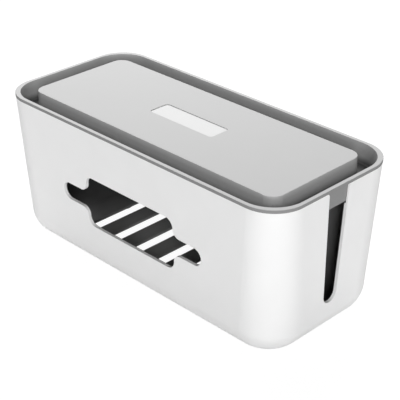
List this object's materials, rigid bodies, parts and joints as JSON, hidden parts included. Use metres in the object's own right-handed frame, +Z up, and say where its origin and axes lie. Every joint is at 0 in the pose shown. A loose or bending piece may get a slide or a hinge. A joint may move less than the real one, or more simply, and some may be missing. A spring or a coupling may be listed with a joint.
{
  "type": "cable management box",
  "caption": "Free-standing box for a power strip and cables: drafted tub with cable outlets and floor vents, and a lift-off lid with a gutter all round for phones.",
  "frame": {"origin": "on the surface that the box stands on, under the centre of its base", "axes": "+X along the box's length, +Y to the back, so the front wall with the cut-out faces -Y, +Z up"},
  "size_m": [0.3202, 0.1422, 0.1397],
  "materials": {
    "tub": "white, satin, moulded",
    "lid": "mid grey, fine matt texture, moulded",
    "badge_plate": "pale grey, smooth, blank",
    "feet": "dark grey, matt"
  },
  "bodies": {
    "tub": {"tub": "tub", "foot_front_left": "feet", "foot_front_right": "feet", "foot_back_left": "feet", "foot_back_right": "feet"},
    "lid": {"lid": "lid", "badge_plate": "badge_plate"}
  },
  "joints": [
    {"name": "lid_lift", "type": "slide", "parent": "tub", "child": "lid", "axis": [0, 0, 1], "range_m": [0, 0.06]}
  ]
}
